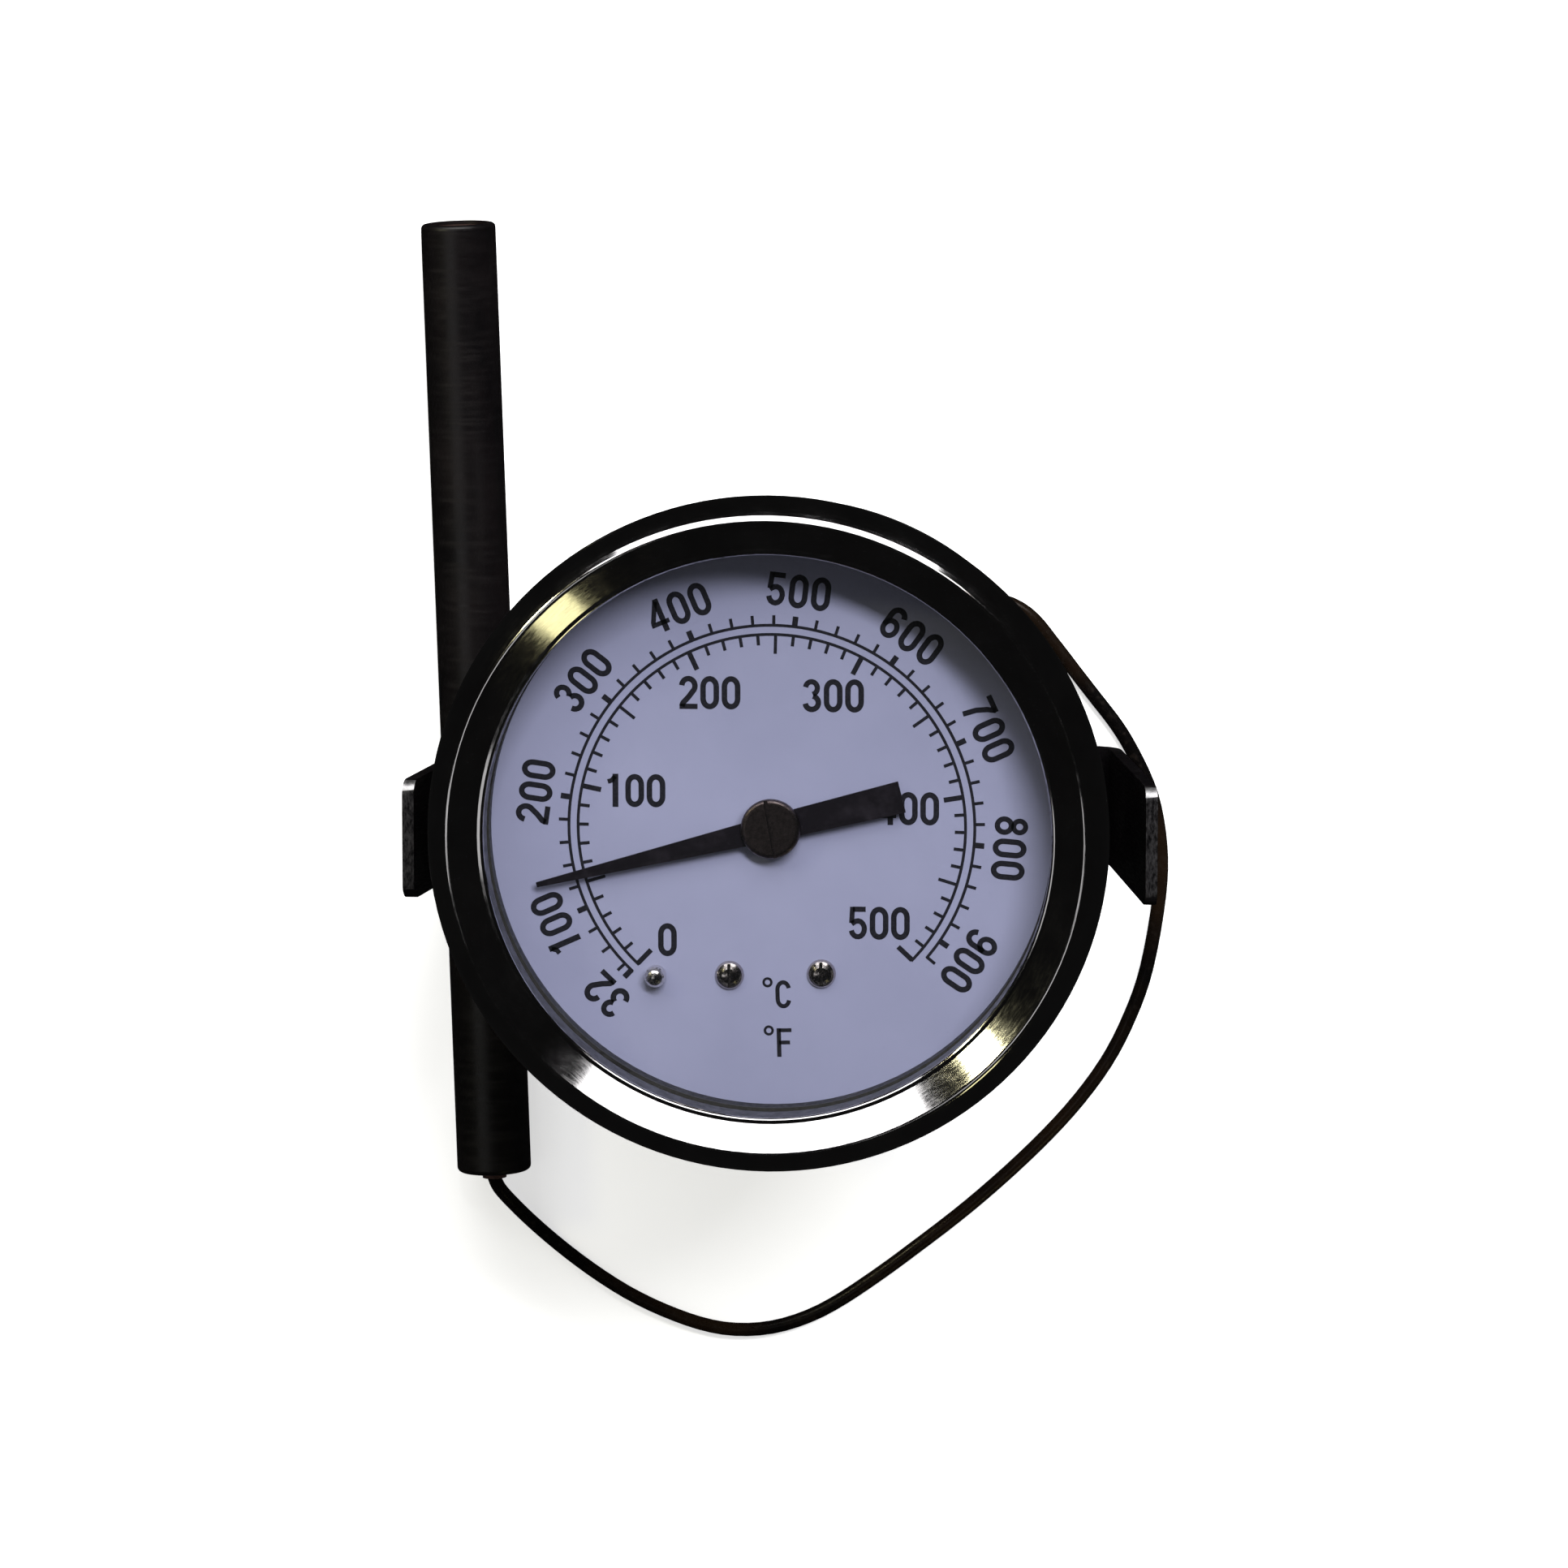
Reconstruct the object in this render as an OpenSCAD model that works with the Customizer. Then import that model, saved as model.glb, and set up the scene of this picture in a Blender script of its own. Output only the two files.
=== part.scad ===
// Panel-mounted dial thermometer with a remote sensing bulb on a capillary.
// Lies on its back with the dial facing up. The origin is on the dial axis,
// in the plane of the panel's front face; +Y is 12 o'clock on the dial.

/* [Bezel and case] */
// Outside diameter of the bezel ring
bezel_d = 70; // [69.8:0.1:71]
// Height of the bezel crest in front of the panel
crest_h = 3.9; // [3.6:0.1:4.2]
// Outside diameter of the barrel that goes through the panel
barrel_d = 63; // [62.6:0.1:63.2]
// Depth of the case behind the panel
case_depth = 30; // [29.8:0.1:30.4]
// Thickness of the drawn case sheet
case_t = 0.8; // [0.6:0.1:0.9]
// Distance of the dial face behind the panel's front
dial_drop = 5.3; // [5.2:0.1:5.4]
// Thickness of the window glass
glass_t = 1.5; // [1.2:0.1:1.5]

/* [Dial and pointer] */
// How far dial and movement are turned in the case, in degrees
dial_turn = 1.5; // [0:0.5:3]
// Direction of the pointer at rest, in degrees from 3 o'clock
pointer_angle = 194.2; // [190:0.1:220]
// Length of the pointer from the axis to its tip
pointer_len = 25; // [23:0.5:26]
// Length of the pointer's tail
tail_len = 13.9; // [12:0.1:15]
// Radius of the pointer's cap
cap_r = 3.1; // [2.8:0.1:3.3]

/* [Movement] */
// Module of the gear teeth
gear_module = 0.25; // [0.25:0.01:0.25]
// Teeth of the pinion
pinion_teeth = 12; // [12:1:12]
// Teeth that the sector would have as a full wheel
sector_teeth = 96; // [96:1:96]
// Radius of the Bourdon tube's centre line
tube_r = 23.5; // [23.2:0.1:23.8]

/* [Panel clamp] */
// Width of the clamp strip
clamp_w = 12.5; // [12:0.1:12.8]
// Thickness of the clamp strip
clamp_t = 1.2; // [1:0.1:1.3]
// Half of the distance across the outside of the two feet
foot_x = 39.3; // [39:0.1:40]
// Distance of the feet behind the panel's front
foot_drop = 12; // [11:0.5:14]
// How far each leg leans outwards, in degrees
leg_lean = 9.5; // [8:0.5:10]
// Distance between the two studs
stud_gap = 35; // [34:0.5:36]

/* [Bulb and capillary] */
// Diameter of the sensing bulb
bulb_d = 8; // [7.6:0.1:8]
// Length of the sensing bulb
bulb_len = 103; // [98:1:105]
// Outside diameter of the capillary
capillary_d = 1.5; // [1.2:0.1:1.5]

/* [Hidden] */
$fn = 48;
floor_z = -51;

// bezel and case
bezel_r = bezel_d / 2;
bezel_t = 0.6;
flank_r = 5;
ridge_r = 0.5;
flange_r = 33.9;
lip_r = 29.1;
lip_z = 1.75;
bead_r = 0.4;
crimp_r = 32.4;
barrel_r = barrel_d / 2;
bore_r = barrel_r - case_t;
corner_r = 2.4;
glass_top = -1.4;
glass_r = 30.4;
gasket_t = 0.4;
dial_t = 0.5;
dial_r = 30.3;
dial_back = -dial_drop - dial_t;
back_z = -case_depth;
back_in = back_z + case_t;

// dial furniture, in the turned frame of the movement
screw_x = 4.75;
screw_y = -15.4;
screw_r = 1;
screw_head_r = 1.5;
stop_r = 19.7;
stop_angle = 231;
stop_pin_r = 1.1;

// movement, in its own turned frame
plate_t = 0.8;
back_plate_z = -19;
front_plate_z = -11;
pivot_r = 0.5;
pivot_gap = 0.05;
staff_r = 0.8;
pressure_angle = 25;
backlash = 0.05;
pinion_r = gear_module * pinion_teeth / 2;
sector_r = gear_module * sector_teeth / 2;
sector_dir = -46.8;
sector_at = (pinion_r + sector_r) * [cos(sector_dir), sin(sector_dir)];
sector_z = -15.4;
sector_t = 1.2;
tail_arm = 6;
pull_dir = 30;
mid_swing = 13.1;
link_len = 9;
tail_at = sector_at + tail_arm * [cos(pull_dir - 90 - mid_swing), sin(pull_dir - 90 - mid_swing)];
tail_mid = sector_at + tail_arm * [cos(pull_dir - 90), sin(pull_dir - 90)];
tip_gain = 5.9;
tip_mid = tail_mid + link_len * [cos(pull_dir), sin(pull_dir)];
tip_at = tip_mid - tip_gain * mid_swing * PI / 180 * [cos(pull_dir), sin(pull_dir)];
link_z = -14;
link_t = 0.6;
link_w = 1.9;
posts = [[-7, 4.5], [6.5, 6.5], [-6.5, -7.5]];
post_r = 1.2;
spring_z = -12.8;
spring_in = 1.5;
spring_pitch = 1.1;
spring_turns = 3.5;
spring_stud_at = [-5.6, 0];

// socket that carries the Bourdon tube
socket_w = 18;
socket_y = [-26, -11];
stem_at = [0, -16];
stem_r = 3.9;
stem_end = -33.6;
sleeve_end = -39;
socket_screw = [4.8, -23.2];
socket_screw_r = 1.25;
tube_z = -24;
tube_flat = 2.6;
tube_high = 7;
tube_wall = 0.4;
tube_from = -25;
tube_to = 254;

// clamp
stud_y = -2.8;
stud_r = 2;
strap_z = -42;
bend_r = 2;
clamp_shift = 0.3;
clamp_hole_r = 2.4;
washer_t = 0.8;
nut_h = 3.2;
nut_flats = 7;

// bulb
bulb_r = bulb_d / 2;
bulb_wall = 0.8;
bulb_at = [-33, -44.4, floor_z + bulb_r];
bulb_lean = 1.9;
plug_t = 2;
plug_recess = 0.4;
boss_r = 1.3;
boss_len = 0.8;

// capillary: centre line, coil first seen from above
capillary_r = capillary_d / 2;
rest_z = -50.2;
coil_at = [0.4, -16];
coil_in = 6.2;
coil_pitch = 1.55;
coil_turns = 3;
coil_layers = 5;
coil_out = coil_in + coil_pitch * coil_turns;
coil_top = rest_z + coil_pitch * (coil_layers - 1);
lead_route = [
    [0.4, -16, -39], [0.4, -16, -41.5], [0, -16.2, -43.8], [-0.9, -17.2, -46],
    [-0.8, -19.2, -48.2], [1.2, -20.9, -49.6], [4, -20.4, -50.2], [6, -18.2, -50.2], [6.6, -16, -50.2]
];
run_route = [
    [11.2, -16, -44], [11.5, -11, -45], [11.7, -5, -47.2], [11.9, 1, -49.2], [12.5, 6.5, -50.2],
    [14, 12, -50.2], [17, 16.5, -50.2], [21, 18, -50.2], [24.5, 16.6, -50.2], [27, 13.8, -50.2],
    [29.7, 10.3, -50.2], [32.2, 7.1, -50.2], [34.2, 4.5, -50.2], [36, 1.5, -50.2], [38, -3, -50.2],
    [39, -8.5, -50.2], [38.9, -14, -50.2], [37.6, -21.8, -50.2], [35.8, -27.2, -50.2],
    [33.2, -32.4, -50.2], [29.3, -37.7, -50.2], [24.3, -43, -50.2], [18.5, -48.3, -50.2],
    [12.9, -52.8, -50.2], [7.6, -56.8, -50.2], [2.3, -60.2, -50.2], [-3, -62.1, -50.2],
    [-8.3, -62.3, -50.2], [-13.5, -60.9, -50.2], [-18.9, -58.4, -50.2], [-24, -55, -50.1],
    [-28.2, -51.4, -49.4], [-31, -48.4, -48.2], [-32.5, -46.4, -47.2], [-33, -45.2, -47]
];

// Points on an arc, for outlines that are turned or extruded
function arc(x, y, r, from, to, steps) =
    [for (i = [0:steps]) let (a = from + (to - from) * i / steps) [x + r * cos(a), y + r * sin(a)]];

// Half of the angle that a tooth fills at radius r
function half_tooth(r, teeth) = let (
    pitch_r = gear_module * teeth / 2,
    base_r = pitch_r * cos(pressure_angle),
    a = r > base_r ? acos(base_r / r) : 0,
    roll = tan(pressure_angle) - tan(a) + (a - pressure_angle) * PI / 180
) 90 / teeth + (roll - backlash / pitch_r / 2) * 180 / PI;

// Outline of one involute tooth whose middle points along angle a
function tooth(a, teeth) = let (
    pitch_r = gear_module * teeth / 2,
    root_r = pitch_r - 1.15 * gear_module,
    tip_r = pitch_r + 0.8 * gear_module,
    radii = [for (i = [0:4]) root_r + (tip_r - root_r) * i / 4]
) concat(
    [for (r = radii) let (b = a - half_tooth(r, teeth)) r * [cos(b), sin(b)]],
    [for (i = [4:-1:0]) let (r = radii[i], b = a + half_tooth(r, teeth)) r * [cos(b), sin(b)]]
);

function joined(lists) = [for (l = lists) for (p = l) p];

// Point halfway along a smooth curve between b and c, with neighbours a and d
function halfway(a, b, c, d) = (9 * (b + c) - a - d) / 16;

// A route with a point added halfway between each pair
function smooth(p) = let (n = len(p) - 1) [for (i = [0:2 * n])
    i % 2 == 0 ? p[i / 2] : let (k = floor(i / 2))
        halfway(p[max(k - 1, 0)], p[k], p[k + 1], p[min(k + 2, n)])];

function unit(v) = v / norm(v);

// Sideways direction at step i of a route, carried along without twisting
function sideways(along, i) = i == 0
    ? unit(cross(along[0], [0.6, 0.8, 0]))
    : let (s = sideways(along, i - 1)) unit(s - (s * along[i]) * along[i]);

// Eight-sided tube along a route
module swept(route, r) {
    p = smooth(route);
    n = len(p);
    sides = 8;
    along = [for (i = [0:n - 1]) unit(p[min(i + 1, n - 1)] - p[max(i - 1, 0)])];
    side = [for (i = [0:n - 1]) sideways(along, i)];
    points = [for (i = [0:n - 1], k = [0:sides - 1]) let (a = 360 * (k + 0.5) / sides)
        p[i] + r * (cos(a) * side[i] + sin(a) * cross(along[i], side[i]))];
    walls = [for (i = [0:n - 2], k = [0:sides - 1]) let (m = (k + 1) % sides)
        [i * sides + k, i * sides + m, (i + 1) * sides + m, (i + 1) * sides + k]];
    ends = [[for (k = [sides - 1:-1:0]) k], [for (k = [0:sides - 1]) (n - 1) * sides + k]];
    polyhedron(points, concat(walls, ends), convexity = 10);
}

// Everything fixed to the movement is turned with it
module turned() rotate([0, 0, dial_turn]) children();

module at_both(x, y, z = 0) for (s = [-1, 1]) translate([s * x, y, z]) children();

module rod(r, from, to) translate([0, 0, from]) cylinder(r = r, h = to - from);

module ring(outer, inner, from, to) {
    translate([0, 0, from]) linear_extrude(to - from) difference() {
        circle(outer);
        circle(inner);
    }
}

// Round-headed screw: head above z, shank below it
module screw(head_r, head_h, shank_r, shank_len, slot_w) {
    difference() {
        rotate_extrude() polygon(concat(
            [[0, -shank_len], [shank_r, -shank_len], [shank_r, 0], [head_r, 0]],
            [for (i = [1:6]) [head_r * cos(15 * i), head_h * sin(15 * i)]]
        ));
        translate([-head_r, -slot_w / 2, head_h * 0.55]) cube([2 * head_r, slot_w, head_h]);
    }
}

// ---- case, bezel and window ----

module case_cup() color("#1c1c1e") difference() {
    rotate_extrude($fn = 96) polygon(concat(
        [[bore_r, 1.4], [flange_r, 1.4], [flange_r, bezel_t], [barrel_r, bezel_t]],
        arc(barrel_r - corner_r, back_z + corner_r, corner_r, 0, -90, 6),
        [[0, back_z], [0, back_in]],
        arc(bore_r - corner_r + case_t, back_in + corner_r - case_t, corner_r - case_t, -90, 0, 6)
    ));
    at_both(stud_gap / 2, stud_y) rod(stud_r, back_z - 1, back_in + 1);
    turned() {
        translate(stem_at) rod(stem_r, back_z - 1, back_in + 1);
        at_both(socket_screw[0], socket_screw[1]) rod(socket_screw_r, back_z - 1, back_in + 1);
    }
}

// Pressed ring: convex outer flank, narrow ridge, conical slope down to a rolled lip
module bezel_ring() color("#d9dade") rotate_extrude($fn = 128) {
    ridge_from = 55;
    ridge_to = 123;
    ridge_z = crest_h - ridge_r;
    ridge_x = bezel_r - flank_r * cos(10) + (flank_r - ridge_r) * cos(ridge_from);
    flank_x = bezel_r - flank_r * cos(10);
    flank_z = ridge_z - (flank_r - ridge_r) * sin(ridge_from);
    polygon(concat(
        [[crimp_r, 0], [bezel_r, 0]],
        arc(flank_x, flank_z, flank_r, 10, ridge_from, 8),
        arc(ridge_x, ridge_z, ridge_r, ridge_from + 14, ridge_to, 5),
        [[lip_r + bead_r + 0.25, lip_z + bead_r - 0.06]],
        arc(lip_r + bead_r, lip_z, bead_r, 95, 180, 5),
        [[lip_r, glass_top], [lip_r + bezel_t, glass_top], [lip_r + bezel_t, lip_z - 0.4]],
        arc(flank_x, flank_z, flank_r - bezel_t, ridge_from - 5, 15, 6),
        [[bezel_r - bezel_t, bezel_t], [crimp_r, bezel_t]]
    ));
}

module window_glass() color("#dfe6f0", 0.3) rod(glass_r, glass_top - glass_t, glass_top, $fn = 96);

module window_gasket() color("#101010")
    ring(glass_r, lip_r - 0.1, glass_top - glass_t - gasket_t, glass_top - glass_t, $fn = 96);

module dial_spacer() color("#141416")
    ring(dial_r, lip_r - 0.1, -dial_drop, glass_top - glass_t - gasket_t, $fn = 96);

module dial_plate() color("#b4b6dc") difference() {
    rod(dial_r, dial_back, -dial_drop, $fn = 96);
    rod(2.6, dial_back - 1, 0);
    turned() {
        at_both(screw_x, screw_y) rod(screw_r, dial_back - 1, 0);
        rotate([0, 0, stop_angle]) translate([stop_r, 0]) rod(0.5, dial_back - 1, 0);
    }
}

module dial_screws() color("#8f8c88") turned()
    at_both(screw_x, screw_y, -dial_drop) rotate([0, 0, 90]) screw(screw_head_r, 0.95, screw_r, 4, 0.35);

module stop_pin() color("#a8a5a2") turned() rotate([0, 0, stop_angle]) translate([stop_r, 0, -dial_drop])
    rotate_extrude() polygon(concat(
        [[0, -1.2], [0.5, -1.2], [0.5, 0], [stop_pin_r, 0]],
        arc(0, 1, stop_pin_r, 0, 90, 6)
    ));

module dial_pillars() color("#b08d4a") turned() at_both(screw_x, screw_y) difference() {
    rod(2.1, back_plate_z + plate_t, dial_back);
    rod(screw_r, -dial_drop - 4, 0);
}

// ---- socket, gland and Bourdon tube ----

module tube_section(inset) {
    r = tube_flat / 2 - inset;
    straight = tube_high - tube_flat;
    translate([tube_r, tube_z]) {
        for (s = [-1, 1]) translate([0, s * straight / 2]) circle(r);
        square([2 * r, straight], center = true);
    }
}

module socket_block() color("#a8843f") turned() difference() {
    union() {
        translate([-socket_w / 2, socket_y[0], back_in])
            cube([socket_w, socket_y[1] - socket_y[0], back_plate_z - back_in]);
        translate(stem_at) rod(stem_r, stem_end, back_in);
    }
    rotate_extrude(angle = tube_to - tube_from, start = tube_from, $fn = 96) tube_section(0);
    at_both(socket_screw[0], socket_screw[1]) rod(socket_screw_r, back_in - 1, back_in + 5);
}

module socket_screws() color("#8d8f93") turned() at_both(socket_screw[0], socket_screw[1], back_z)
    mirror([0, 0, 1]) screw(2.3, 1.3, socket_screw_r, case_t + 5, 0.5);

module stem_washer() color("#5a2d20") turned() translate(stem_at) ring(5.2, stem_r, back_z - 0.6, back_z);

module gland_nut() color("#a58746") turned() translate(stem_at) difference() {
    translate([0, 0, stem_end - 0.9]) rotate(30)
        cylinder(d = 11 / cos(30), h = back_z - 0.6 - stem_end + 0.9, $fn = 6);
    rod(stem_r, stem_end, back_z);
}

module strain_relief() color("#161616") turned() translate(stem_at) rotate_extrude() polygon([
    [0, sleeve_end], [1.3, sleeve_end], [2.6, stem_end - 0.9], [0, stem_end - 0.9]
]);

module bourdon_tube() color("#b9924b") turned()
    rotate_extrude(angle = tube_to - tube_from, start = tube_from, $fn = 96) difference() {
        tube_section(0);
        tube_section(tube_wall);
    }

module bourdon_tip() color("#a8843f") turned() difference() {
    rotate([0, 0, tube_from]) {
        translate([tube_r - 2, -3, tube_z - tube_high / 2]) cube([4, 3, tube_high]);
        translate([tube_r - 3.4, -3.9, tube_z + tube_high / 2 - 1])
            cube([3.8, 3.5, sector_z + sector_t - 0.2 - tube_z - tube_high / 2 + 1]);
    }
    translate(tip_at) rod(pivot_r, sector_z - 3, 0);
}

module tip_pin() color("#77797d") turned() translate(tip_at) {
    rod(pivot_r, sector_z - 3, link_z + link_t + 0.2);
    rod(1.1, link_z + link_t + 0.2, link_z + link_t + 0.5);
}

// ---- movement ----

module plate_outline(corners) {
    polygon(corners);
    for (p = corners) translate(p) circle(2.4);
}

module plate(z, corners) translate([0, 0, z]) linear_extrude(plate_t) difference() {
    plate_outline(corners);
    circle(z == front_plate_z ? staff_r + pivot_gap : pivot_r + pivot_gap);
    translate(sector_at) circle(pivot_r + pivot_gap);
}

module back_plate() color("#c9a75c") turned()
    plate(back_plate_z, [posts[1], posts[0], posts[2], [-6.5, -17], [6.5, -17], sector_at]);

module front_plate() color("#c9a75c") turned()
    plate(front_plate_z, [posts[1], posts[0], posts[2], sector_at]);

module movement_posts() color("#b5934c") turned() for (p = posts) translate(p)
    rod(post_r, back_plate_z + plate_t, front_plate_z);

module movement_screws() color("#8d8f93") turned() for (p = posts) translate([p[0], p[1], front_plate_z + plate_t])
    screw(1.6, 0.8, 0.6, 0, 0.35);

module hairspring() color("#7f8790") turned() translate([0, 0, spring_z]) linear_extrude(0.5) {
    steps = 24 * spring_turns;
    half_t = 0.07;
    line = [for (i = [0:steps]) let (a = 360 * i / 24, r = spring_in + half_t + spring_pitch * a / 360)
        [r, a]];
    polygon(concat(
        [for (q = line) (q[0] + half_t) * [cos(q[1]), sin(q[1])]],
        [for (i = [steps:-1:0]) let (q = line[i]) (q[0] - half_t) * [cos(q[1]), sin(q[1])]]
    ));
}

module hairspring_stud() color("#b5934c") turned() translate(spring_stud_at) rod(0.4, spring_z, front_plate_z);

module hairspring_collet() color("#b5934c") ring(spring_in, staff_r, spring_z - 0.1, spring_z + 0.7);

module sector_gear() color("#cfae62") turned() translate([sector_at[0], sector_at[1], sector_z])
    linear_extrude(sector_t) difference() {
        facing = sector_dir + 180;
        pitch = 360 / sector_teeth;
        first = facing - 9.5 * pitch;
        last = facing + 2.5 * pitch;
        tail = tail_at - sector_at;
        union() {
            polygon(concat(
                [[0, 0]],
                joined([for (k = [0:12]) tooth(first + k * pitch, sector_teeth)])
            ));
            circle(2);
            translate(tail) circle(1.3);
            polygon([
                1.9 * unit([tail[1], -tail[0]]), tail + 1.2 * unit([tail[1], -tail[0]]),
                tail - 1.2 * unit([tail[1], -tail[0]]), -1.9 * unit([tail[1], -tail[0]])
            ]);
        }
        polygon(concat(
            [3.6 * [cos((first + last) / 2), sin((first + last) / 2)]],
            arc(0, 0, 9.8, first + 7, last - 7, 6)
        ));
        circle(staff_r);
        translate(tail) circle(pivot_r);
    }

module sector_arbor() color("#8d8f93") turned() translate(sector_at) {
    rod(pivot_r, back_plate_z - 0.3, front_plate_z + plate_t + 0.3);
    rod(staff_r, back_plate_z + plate_t + 0.1, front_plate_z - 0.1);
}

module tail_pin() color("#8d8f93") turned() translate(tail_at) {
    rod(pivot_r, sector_z, link_z + link_t + 0.2);
    rod(1, link_z + link_t + 0.2, link_z + link_t + 0.5);
}

module link_bar() color("#c2a055") turned() translate([0, 0, link_z]) linear_extrude(link_t) difference() {
    across = unit([tail_at[1] - tip_at[1], tip_at[0] - tail_at[0]]);
    union() {
        translate(tail_at) circle(1.3);
        translate(tip_at) circle(1.4);
        polygon([
            tail_at + link_w / 2 * across, tail_at - link_w / 2 * across,
            tip_at - link_w / 2 * across, tip_at + link_w / 2 * across
        ]);
    }
    translate(tail_at) circle(pivot_r + pivot_gap);
    translate(tip_at) circle(pivot_r + 0.3);
}

module pinion_arbor() color("#9b9da1") turned() {
    rod(pivot_r, back_plate_z - 0.3, back_plate_z + plate_t + 0.2);
    rod(staff_r, back_plate_z + plate_t + 0.2, -dial_drop + 0.8);
    translate([0, 0, sector_z - 0.8]) linear_extrude(sector_t + 1.6)
        polygon(joined([for (k = [0:pinion_teeth - 1]) tooth(sector_dir + 360 * k / pinion_teeth, pinion_teeth)]));
}

module pointer() color("#0c0c0d") rotate([0, 0, pointer_angle]) translate([0, 0, -dial_drop + 0.8])
    linear_extrude(0.4) {
        polygon([[pointer_len, -0.25], [pointer_len, 0.25], [1.5, 1.25], [1.5, -1.25]]);
        polygon([[-1.5, -1.35], [-1.5, 1.35], [-tail_len, 1.65], [-tail_len, -1.65]]);
        circle(2.6);
    }

module pointer_cap() color("#8a8783") translate([0, 0, -dial_drop + 1.2]) difference() {
    rotate_extrude() polygon(concat([[0, 0], [cap_r, 0]], arc(cap_r - 0.5, 0.3, 0.5, 0, 90, 4), [[0, 0.8]]));
    rotate([0, 0, 100]) translate([-cap_r, -0.2, 0.55]) cube([2 * cap_r, 0.4, 1]);
}

// ---- panel clamp ----

module clamp_studs() color("#85878b") at_both(stud_gap / 2, stud_y) {
    rod(stud_r, floor_z, back_in);
    rod(3.4, back_in, back_in + 1);
}

// Outline of the bent strip: strap, two bends and two legs
module strip_bend() {
    outer_r = bend_r + clamp_t;
    rise = -foot_drop - strap_z;
    bend_x = foot_x - outer_r * cos(leg_lean) - (rise - outer_r + outer_r * sin(leg_lean)) * tan(leg_lean);
    inner_x = bend_x + bend_r * cos(leg_lean) + (rise - outer_r + bend_r * sin(leg_lean)) * tan(leg_lean);
    bend_z = strap_z + outer_r;
    outside = concat(arc(bend_x, bend_z, outer_r, -90, -leg_lean, 6), [[foot_x, -foot_drop]]);
    inside = concat([[inner_x, -foot_drop]], arc(bend_x, bend_z, bend_r, -leg_lean, -90, 6));
    right = concat(outside, inside);
    polygon(concat(right, [for (i = [len(right) - 1:-1:0]) [-right[i][0], right[i][1]]]));
}

// Outline of the strip seen from its side, with rounded corners at the feet
module strip_side() {
    r = 1.6;
    translate([stud_y - clamp_w / 2, strap_z - 1]) square([clamp_w, -foot_drop - strap_z + 1 - r]);
    translate([stud_y - clamp_w / 2 + r, strap_z]) square([clamp_w - 2 * r, -foot_drop - strap_z]);
    for (s = [-1, 1]) translate([stud_y + s * (clamp_w / 2 - r), -foot_drop - r]) circle(r);
}

module u_clamp() color("#6e7074") translate([clamp_shift, 0, 0]) difference() {
    intersection() {
        rotate([90, 0, 0]) linear_extrude(3 * clamp_w, center = true) strip_bend();
        rotate([90, 0, 90]) linear_extrude(3 * foot_x, center = true) strip_side();
    }
    translate([-clamp_shift, 0, 0]) at_both(stud_gap / 2, stud_y) rod(clamp_hole_r, strap_z - 1, strap_z + 3);
}

module spring_washers() color("#7a7c80") at_both(stud_gap / 2, stud_y)
    ring(3.8, stud_r + 0.2, strap_z - washer_t, strap_z);

module nut(side) color("#9b9da1") translate([side * stud_gap / 2, stud_y, strap_z - washer_t - nut_h])
    difference() {
        cylinder(d = nut_flats / cos(30), h = nut_h, $fn = 6);
        rod(stud_r + pivot_gap, -1, nut_h + 1);
    }

module nut_left() nut(-1);
module nut_right() nut(1);

// ---- bulb and capillary ----

module along_bulb() translate(bulb_at) rotate([0, 0, bulb_lean]) rotate([-90, 0, 0]) children();

module bulb_tube() color("#1a1512") along_bulb() rotate_extrude() {
    rim = 0.5;
    polygon(concat(
        [[bulb_r - bulb_wall, 0]],
        arc(bulb_r - rim, rim, rim, -90, 0, 4),
        arc(bulb_r - rim, bulb_len - rim, rim, 0, 90, 4),
        [[bulb_r - bulb_wall, bulb_len]]
    ));
}

module bulb_end_plug() color("#3a221a") along_bulb()
    rod(bulb_r - bulb_wall, bulb_len - plug_recess - plug_t, bulb_len - plug_recess);

module bulb_neck_plug() color("#2a211c") along_bulb() {
    rod(bulb_r - bulb_wall, 0.2, plug_t);
    rod(boss_r, -boss_len, 0.2);
}

module capillary_lead() color("#1a1512") swept(lead_route, capillary_r);

module capillary_coil() color("#1a1512") translate(coil_at)
    ring(coil_out + capillary_r, coil_in - capillary_r, floor_z, coil_top + capillary_r);

module capillary_run() color("#1a1512") swept(run_route, capillary_r);

case_cup();
bezel_ring();
window_glass();
window_gasket();
dial_spacer();
dial_plate();
dial_screws();
stop_pin();
dial_pillars();
socket_block();
socket_screws();
stem_washer();
gland_nut();
strain_relief();
bourdon_tube();
bourdon_tip();
tip_pin();
back_plate();
front_plate();
movement_posts();
movement_screws();
hairspring();
hairspring_stud();
hairspring_collet();
sector_gear();
sector_arbor();
tail_pin();
link_bar();
pinion_arbor();
pointer();
pointer_cap();
clamp_studs();
u_clamp();
spring_washers();
nut_left();
nut_right();
bulb_tube();
bulb_end_plug();
bulb_neck_plug();
capillary_lead();
capillary_coil();
capillary_run();
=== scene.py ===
"""Looks of a panel thermometer with a remote bulb, built round its CAD frame. Lengths are in millimetres here."""
import math

import bmesh
import bpy
from mathutils import Matrix, Vector


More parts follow.
